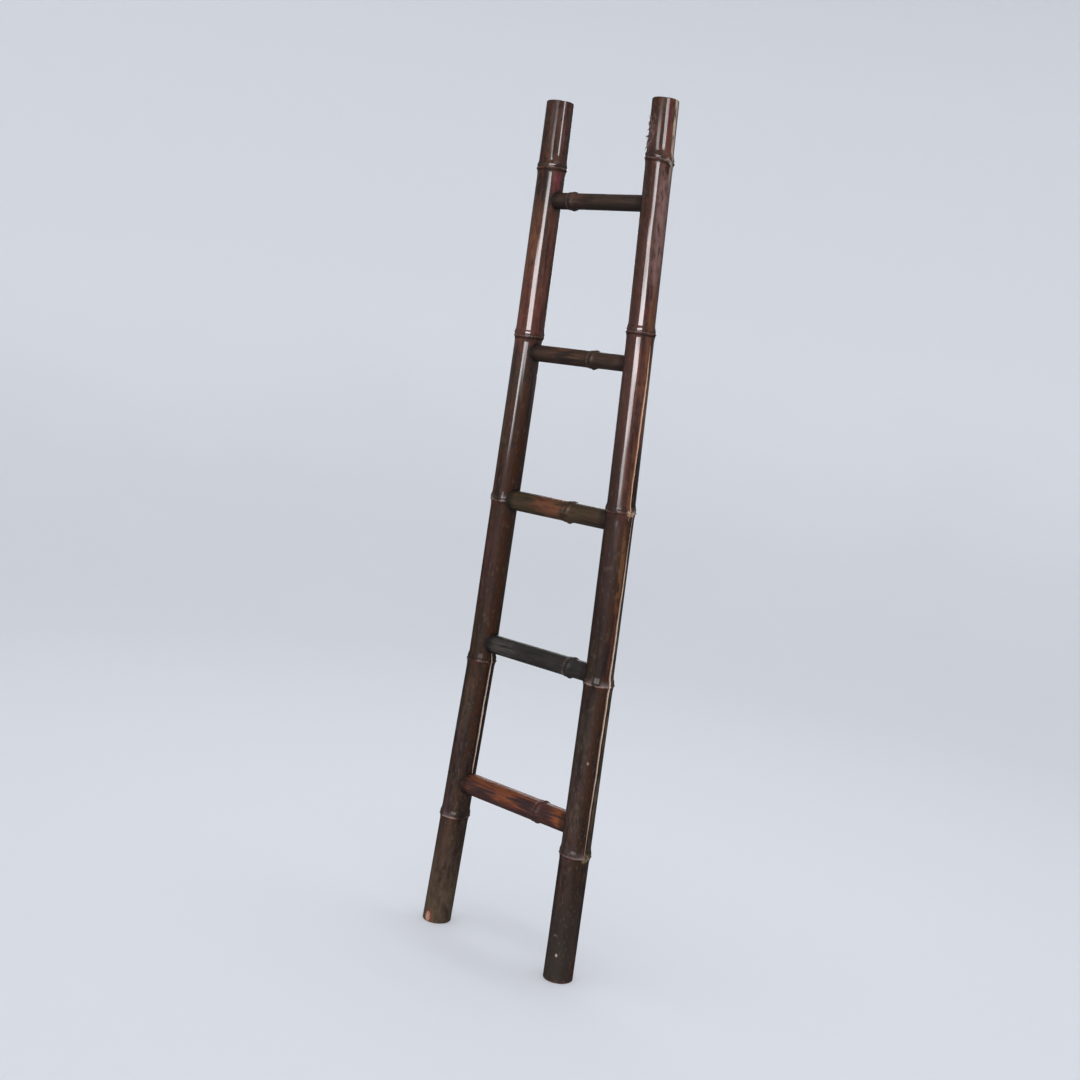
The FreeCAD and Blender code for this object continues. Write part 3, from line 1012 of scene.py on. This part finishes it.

# Dark and warm stain of each rung, the colour it is rubbed to on its tread and in patches along it,
# its node line, the colour round its node, and how much painted shade darkens it underneath
rung_looks = [
    {"dark": (0.027, 0.014, 0.013, 1.0), "warm": (0.055, 0.020, 0.016, 1.0),
     "rub": (0.160, 0.046, 0.014, 1.0), "tread": 0.17,
     "patches": [(0.94, 0.03, 0.10), (0.82, 0.05, -0.10)], "line": 0.55, "tilt": -0.004,
     "ring": (0.060, 0.026, 0.022, 1.0), "under": 0.0},
    {"dark": (0.011, 0.010, 0.0095, 1.0), "warm": (0.022, 0.020, 0.018, 1.0),
     "rub": (0.075, 0.068, 0.062, 1.0), "tread": 0.0,
     "patches": [(0.16, 0.06, 0.10)], "line": 0.5, "tilt": -0.002,
     "ring": (0.050, 0.034, 0.033, 1.0), "under": 0.0},
    {"dark": (0.020, 0.014, 0.008, 1.0), "warm": (0.043, 0.028, 0.014, 1.0),
     "rub": (0.135, 0.046, 0.020, 1.0), "tread": 0.02,
     "patches": [(0.45, 0.08, 0.13)], "line": 0.15, "tilt": -0.002,
     "ring": black_stain_and_shade, "under": 0.2},
    {"dark": (0.016, 0.011, 0.009, 1.0), "warm": (0.040, 0.022, 0.014, 1.0),
     "rub": (0.090, 0.036, 0.020, 1.0), "tread": 0.02,
     "patches": [(0.38, 0.07, 0.12)], "line": 0.15, "tilt": -0.001,
     "ring": black_stain_and_shade, "under": 0.6},
    {"dark": (0.014, 0.010, 0.008, 1.0), "warm": (0.034, 0.021, 0.014, 1.0),
     "rub": (0.075, 0.030, 0.022, 1.0), "tread": 0.02,
     "patches": [(0.27, 0.04, 0.14)], "line": 0.15, "tilt": 0.001,
     "ring": black_stain_and_shade, "under": 0.8},
]
rung_sizes = {"Around": 64, "Side": (0, 1, 0), "Front": (0, 0, 1), "Swell": 0.0006, "Collar": 0.007,
              "Lip": 0.0008, "Lip Width": 0.0011, "Ridge": 0.0029, "Ridge Offset": 0.010,
              "Ridge Width": 0.0055, "Bud": 0.0008, "Uneven": 0.0005, "Flutes": 0.0001,
              "Hollow": hollow_face, "Sawn": sawn_face}


def rung_lacquer(name, place, span, look, seed):
    """Stain under dull lacquer, streaked along the rung and rubbed through where it is stepped on."""
    material, shader, coordinates = new_material(name)
    x, y, z = separate(coordinates)
    local_y = y - place.y
    local_z = z - place.z
    start, end = span
    fibre = noise(combine(x * 0.02 + seed, local_y, local_z), 900.0, 3.0)
    streak = noise(combine(x * 0.05 + seed, local_y, local_z), 230.0, 3.0)
    blotch = noise(combine(x * 0.25 + seed, local_y, local_z), 60.0, 3.0)
    tone = streak * 0.4 + blotch * 0.6
    tread = fade(local_z - local_y * 0.5 + (streak - 0.5) * 0.02, -0.008, 0.016)
    colour = blend(look["dark"], look["warm"], fade(tone, 0.36, 0.58))
    rubbed = tone + tread * look["tread"]
    for share, reach, weight in look["patches"]:
        rubbed += fade((x - between(start, end, share)).math("ABSOLUTE"), reach, reach * 0.3) * weight
    colour = blend(colour, look["rub"], fade(rubbed, 0.58, 0.78))
    colour = blend(colour, black_stain_and_shade, fade(blotch * 0.7 + streak * 0.3, 0.52, 0.66) * 0.7)
    colour = blend(colour, black_stain_and_shade, fade(fibre, 0.52, 0.72) * 0.35)
    # Painted shade on the underside, as strong as each rung's look gives
    colour = blend(colour, black_stain_and_shade, fade(local_z + (streak - 0.5) * 0.01, 0.0, -0.009) * look["under"])

    # Node, and the dark collars of grime and painted shade where the rung enters the stiles
    scar = ring_mark(coordinates, "scar")
    collar = ring_mark(coordinates, "collar")
    colour = blend(colour, look["ring"], collar * fade(streak, 0.38, 0.6) * 0.6)
    colour = blend(colour, scar_colour, scar * fade(blotch, 0.42, 0.60) * look["line"])
    inside = (x - start).math("MINIMUM", end - x) + (streak - 0.5) * 0.012
    colour = blend(colour, black_stain_and_shade, fade(inside, 0.014, 0.001) * 0.7)
    rough = 0.50 + (fibre - 0.5) * 0.3
    dress(shader, {"Base Color": colour, "Roughness": rough, "Specular IOR Level": 0.18,
                   "Coat Weight": fade(blotch, 0.45, 0.65) * 0.15, "Coat Roughness": 0.2,
                   "Normal": bumped(fibre * 0.6 + streak * 0.4, 0.2, 0.0006)})
    return material


for index, name in enumerate(rung_nodes):
    low, high = rung_boxes[index]
    place = rung_places[index]
    radius = rung_diameters[index] / 2
    left_face = stile_axis(stiles["left"], place.z).x + stile_radius(stiles["left"], place.z)
    right_face = stile_axis(stiles["right"], place.z).x - stile_radius(stiles["right"], place.z)
    node = between(left_face, right_face, rung_spots[index])
    seed = seed_step * (index + 1)

    def girth(x):
        past_node = smooth(node + rung_step[0], node + rung_step[1], x)
        return radius * between(1, rung_taper, past_node)

    rows = culm_rows(low.x, high.x, [node], girth, rung_wall, rung_diaphragm)
    look = rung_looks[index]
    lacquer = rung_lacquer("lacquer_" + name, place, (left_face, right_face), look, seed)
    piece = grow_culm("cane_" + name, rows, lambda x: Vector((x, place.y, place.z)), [node],
                      [Vector((0, look["tilt"]))], [Vector((0, -1))], [1.0, 1.0], [(0, 0, 0)] * 2,
                      dict(rung_sizes, Skin=lacquer, Seed=seed))
    piece.data.set_sharp_from_angle(angle=sharp_angle)
    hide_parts(name)
    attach(piece, "root")


# Pegs
# Ten split-bamboo pegs, one through each joint, driven in from the back and left a hair proud.
# Their solids are plain enough to stay as they are and only take a bamboo of their own.

peg_brown = (0.10, 0.05, 0.024, 1.0)
peg_dot = (0.035, 0.018, 0.010, 1.0)
peg_material, peg_shader, peg_place = new_material("peg_bamboo")
peg_cloud = noise(peg_place, 260.0, 3.0)
peg_dots = peg_place.add("ShaderNodeTexVoronoi", {}, {"Vector": peg_place, "Scale": 900.0}, "Distance")
peg_colour = blend(peg_brown, peg_dot, fade(peg_dots + peg_cloud * 0.5, 0.75, 0.45))
dress(peg_shader, {"Base Color": peg_colour, "Roughness": 0.45 + peg_cloud * 0.2,
                   "Normal": bumped(peg_dots, 0.3, 0.0003)})
for name, node in frame["nodes"].items():
    if name.startswith("peg_"):
        node.data.materials.clear()
        node.data.materials.append(peg_material)


# Studio floor
# A plain pale sweep: flat under the ladder and curving up all round, so that no edge shows from any side.
# It glows a little, like a wall in daylight, and does not show in the lacquer.

floor_radius = 3.2
floor_sides = 96
sweep_radius = 3.0
sweep_height = 7.0
sweep_steps = 16
low_grey = (0.52, 0.535, 0.57, 1.0)
high_grey = (0.66, 0.675, 0.71, 1.0)
floor_glow = (0.96, 0.975, 1.0, 1.0)
profile = [(0.0, 0.0), (floor_radius * 0.5, 0.0), (floor_radius, 0.0)]
for step in range(1, sweep_steps + 1):
    turn = math.radians(90) * step / sweep_steps
    profile.append((floor_radius + sweep_radius * math.sin(turn), sweep_radius * (1 - math.cos(turn))))
profile.append((floor_radius + sweep_radius, sweep_height))
shape = bmesh.new()
spine = [shape.verts.new((reach, 0, height)) for reach, height in profile]
edges = [shape.edges.new(pair) for pair in zip(spine[:-1], spine[1:])]
bmesh.ops.spin(shape, geom=spine + edges, axis=(0, 0, 1), cent=(0, 0, 0), steps=floor_sides,
               angle=2 * math.pi)
bmesh.ops.remove_doubles(shape, verts=shape.verts, dist=1e-4)
bmesh.ops.recalc_face_normals(shape, faces=shape.faces)
floor_mesh = mesh_of(shape, "studio_floor")
floor_mesh.shade_smooth()
floor_material, floor_shader, floor_place = new_material("pale_sweep")
_, _, floor_height = separate(floor_place)
floor_rise = fade(floor_height + noise(floor_place, 0.8, 2.0) * 0.5, 0.2, 1.8)
floor_colour = blend(low_grey, high_grey, floor_rise)
dress(floor_shader, {"Base Color": floor_colour, "Roughness": 0.85, "Specular IOR Level": 0.15,
                     "Emission Color": floor_glow, "Emission Strength": 0.20})
floor_mesh.materials.append(floor_material)
studio_floor = new_object("studio_floor", floor_mesh)
studio_floor.visible_glossy = False


# Light
# A wide soft window behind the camera and to its left draws the long bright lines down the lacquer, and two
# lights at the back keep that side readable. These light the ladder alone and the ceiling light the sweep
# alone, so that the sweep is even from any side. An overhead light and pale daylight reach everything.

ladder_pieces = bpy.data.collections.new("ladder_pieces")
for piece in bpy.context.scene.objects:
    if piece.type == "MESH" and piece != studio_floor:
        ladder_pieces.objects.link(piece)
sweep_pieces = bpy.data.collections.new("sweep_pieces")
sweep_pieces.objects.link(studio_floor)


def soft_light(name, place, target, width, height, power, colour, lit=None, shine=True):
    """A rectangular light that aims at a target. It may light one collection alone, or leave no shine."""
    light = bpy.data.lights.new(name, "AREA")
    light.shape = "RECTANGLE"
    light.size = width
    light.size_y = height
    light.energy = power
    light.color = colour
    obj = bpy.data.objects.new(name, light)
    aim = (Vector(target) - Vector(place)).to_track_quat("-Z", "Y")
    obj.matrix_world = Matrix.Translation(place) @ aim.to_matrix().to_4x4()
    obj.visible_camera = False
    obj.visible_glossy = shine
    if lit:
        obj.light_linking.receiver_collection = lit
    bpy.context.scene.collection.objects.link(obj)


middle = (0.0, 0.0, stile_length / 2)
window_tint = (1.0, 0.962, 0.985)
rear_tint = (0.98, 0.99, 1.0)
sky_tint = (0.97, 0.98, 1.0)
soft_light("front_window", (1.5, -3.4, 1.9), (0.0, 0.0, 1.6), 2.5, 2.4, 195.0, window_tint, ladder_pieces)
soft_light("rear_window", (-2.5, 3.05, 2.2), (0.0, 0.0, 1.4), 0.8, 2.0, 30.0, rear_tint, ladder_pieces)
soft_light("rear_fill", (-2.0, 3.0, 2.0), middle, 2.4, 2.4, 120.0, rear_tint, ladder_pieces, shine=False)
soft_light("ceiling", (0.0, 0.0, 5.5), (0.0, 0.0, 0.0), 5.0, 5.0, 200.0, sky_tint, sweep_pieces, shine=False)
soft_light("overhead", (0.3, 0.3, 4.6), middle, 4.0, 4.0, 25.0, sky_tint)
world = bpy.data.worlds.new("daylight")
world.use_nodes = True
daylight = world.node_tree.nodes["Background"]
daylight.inputs["Color"].default_value = (0.90, 0.93, 0.98, 1.0)
daylight.inputs["Strength"].default_value = 0.18
bpy.context.scene.world = world
bpy.context.scene.view_settings.view_transform = "Standard"


# Camera
# Stands in front of the ladder to the right, and below its head. Its tilt and roll make up for the lean of
# a ladder in use, since this one stands upright.

frame_pixels = 1080
focal_pixels = 1400
camera_place = (1.8361, -2.2581, 1.2159)
camera_azimuth = 39.67
camera_elevation = 6.43
camera_roll = 7.82
lens = bpy.data.cameras.new("camera")
lens.sensor_width = 36.0
lens.lens = lens.sensor_width * focal_pixels / frame_pixels
camera = bpy.data.objects.new("camera", lens)
bpy.context.scene.collection.objects.link(camera)
camera.matrix_world = (Matrix.Translation(camera_place)
                       @ Matrix.Rotation(math.radians(camera_azimuth), 4, "Z")
                       @ Matrix.Rotation(math.radians(90 - camera_elevation), 4, "X")
                       @ Matrix.Rotation(math.radians(camera_roll), 4, "Z"))
bpy.context.scene.camera = camera
